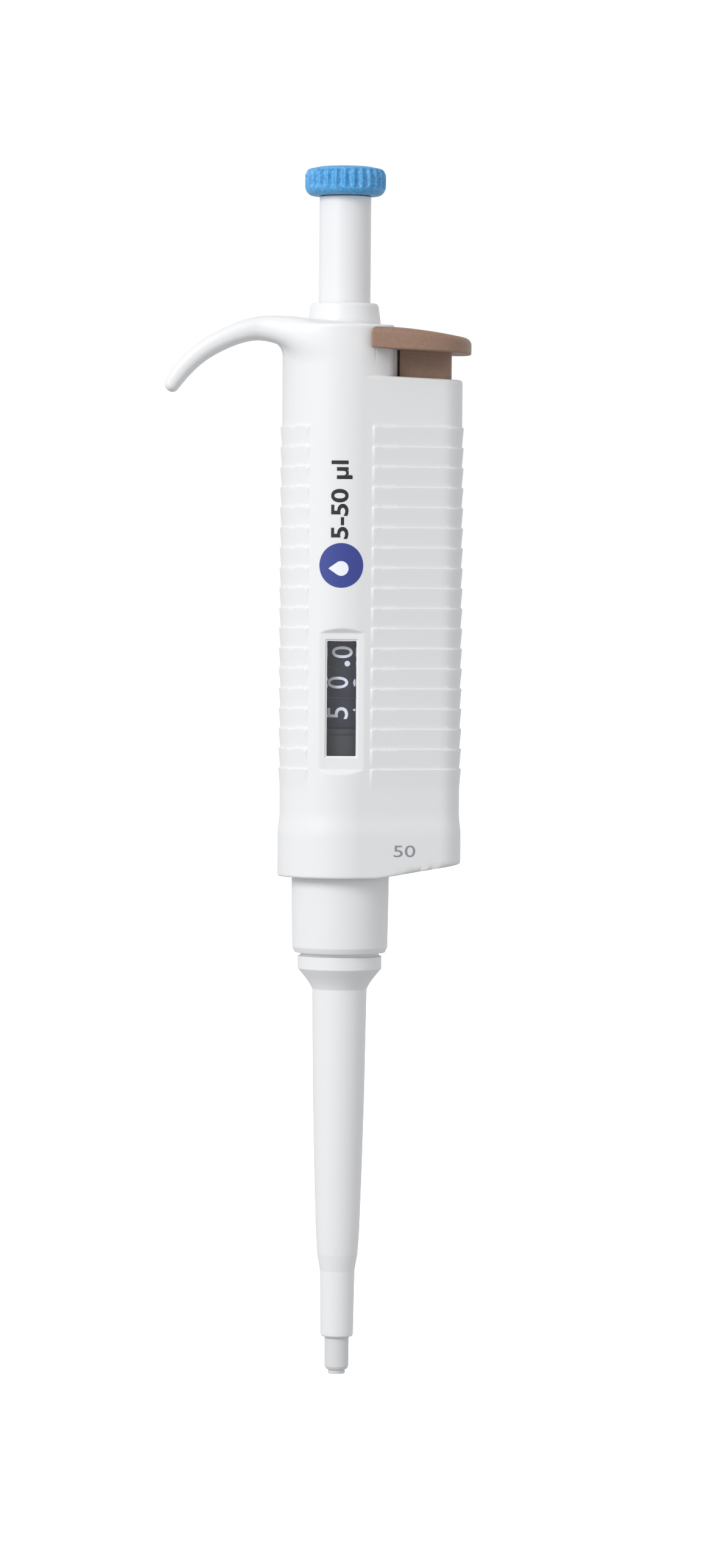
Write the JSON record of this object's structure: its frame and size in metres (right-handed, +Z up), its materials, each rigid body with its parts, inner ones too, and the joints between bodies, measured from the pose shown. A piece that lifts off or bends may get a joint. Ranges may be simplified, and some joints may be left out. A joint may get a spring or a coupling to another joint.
{
  "type": "adjustable micropipette",
  "caption": "Hand-held air-displacement pipette with finger hook, fluted volume knob, number-drum counter, side thumb ejector and tapered tip cone.",
  "frame": {"origin": "centre of the tip cone's end face, at the bottom of the main axis", "axes": "+Z up the main axis to the button cap, finger hook towards -X, tip ejector towards +X, volume window faces -Y"},
  "size_m": [0.0607, 0.026, 0.24],
  "materials": {
    "body": "fine matte, off-white",
    "shell": "smooth satin, off-white",
    "clear": "clear moulded lens",
    "blue": "fine speckled matte, blue",
    "brown": "satin, warm grey-brown",
    "drum": "satin, near-black with white digits",
    "inner": "natural moulded plastic",
    "dark": "matte, near-black",
    "steel": "ground",
    "spring": "drawn wire",
    "seal": "waxy fluoropolymer",
    "rubber": "soft matte"
  },
  "bodies": {
    "handle": {"handle_body": "body", "counter_window": "clear", "top_collar": "shell", "counter_frame": "dark", "counter_top_plate": "dark", "carrier_plate_upper": "inner", "carrier_plate_lower": "inner", "retaining_ring": "inner", "spring_housing": "inner", "blowout_spring": "spring", "tip_cone_shaft": "shell", "piston_seal": "seal", "seal_o_ring": "rubber", "seal_bush": "inner", "ejector_spring": "spring"},
    "blowout": {"blowout_cup": "inner", "main_spring": "spring"},
    "plunger": {"piston_head": "inner", "piston": "steel"},
    "knob": {"button_cap": "blue", "push_rod": "shell", "drive_rod": "steel"},
    "volume_screw": {"volume_screw": "inner"},
    "stop_nut": {"volume_stop_nut": "steel"},
    "tenths": {"tenths_drum": "drum"},
    "units": {"units_drum": "drum"},
    "tens": {"tens_drum": "drum"},
    "pinion_upper": {"transfer_pinion_upper": "seal"},
    "pinion_lower": {"transfer_pinion_lower": "seal"},
    "ejector": {"ejector_button": "brown", "ejector_rod": "steel", "ejector_collar": "shell", "ejector_sleeve": "shell"}
  },
  "joints": [
    {"name": "blowout_press", "type": "slide", "parent": "handle", "child": "blowout", "axis": [0, 0, -1], "range_m": [0, 0.0045], "stiffness_N_per_m": 1500, "springref_m": -0.003, "deforming": ["blowout_spring"]},
    {"name": "plunger_press", "type": "slide", "parent": "blowout", "child": "plunger", "axis": [0, 0, -1], "range_m": [0, 0.01444], "stiffness_N_per_m": 150, "springref_m": -0.012, "deforming": ["main_spring"]},
    {"name": "volume_turn", "type": "hinge", "parent": "plunger", "child": "knob", "pos_m": [0, 0, 0.237], "axis": [0, 0, 1], "range_deg": [-16200, 0]},
    {"name": "volume_screw_turn", "type": "hinge", "parent": "handle", "child": "volume_screw", "pos_m": [0, 0, 0.195], "axis": [0, 0, 1], "range_deg": [-16200, 0]},
    {"name": "stop_nut_travel", "type": "slide", "parent": "handle", "child": "stop_nut", "axis": [0, 0, 1], "range_m": [-0.013, 0]},
    {"name": "tenths_turn", "type": "hinge", "parent": "handle", "child": "tenths", "pos_m": [0, 0, 0.144], "axis": [0, 0, 1], "range_deg": [-16200, 0]},
    {"name": "units_turn", "type": "hinge", "parent": "handle", "child": "units", "pos_m": [0, 0, 0.138], "axis": [0, 0, 1], "range_deg": [-1620, 0]},
    {"name": "tens_turn", "type": "hinge", "parent": "handle", "child": "tens", "pos_m": [0, 0, 0.132], "axis": [0, 0, 1], "range_deg": [-162, 0]},
    {"name": "pinion_upper_turn", "type": "hinge", "parent": "handle", "child": "pinion_upper", "pos_m": [0.00555, 0, 0.141], "axis": [0, 0, 1], "range_deg": [-8100, 0]},
    {"name": "pinion_lower_turn", "type": "hinge", "parent": "handle", "child": "pinion_lower", "pos_m": [0.00555, 0, 0.135], "axis": [0, 0, 1], "range_deg": [-810, 0]},
    {"name": "ejector_press", "type": "slide", "parent": "handle", "child": "ejector", "axis": [0, 0, -1], "range_m": [0, 0.005], "stiffness_N_per_m": 400, "springref_m": -0.008, "deforming": ["ejector_spring"]}
  ],
  "couplings": [
    {"joint": "volume_screw_turn", "follows": "volume_turn", "ratio": 1},
    {"joint": "stop_nut_travel", "follows": "volume_turn", "m_per_rad": 0.00004596},
    {"joint": "tenths_turn", "follows": "volume_turn", "ratio": 1},
    {"joint": "units_turn", "follows": "volume_turn", "ratio": 0.1},
    {"joint": "tens_turn", "follows": "volume_turn", "ratio": 0.01},
    {"joint": "pinion_upper_turn", "follows": "volume_turn", "ratio": 0.5},
    {"joint": "pinion_lower_turn", "follows": "volume_turn", "ratio": 0.05}
  ]
}
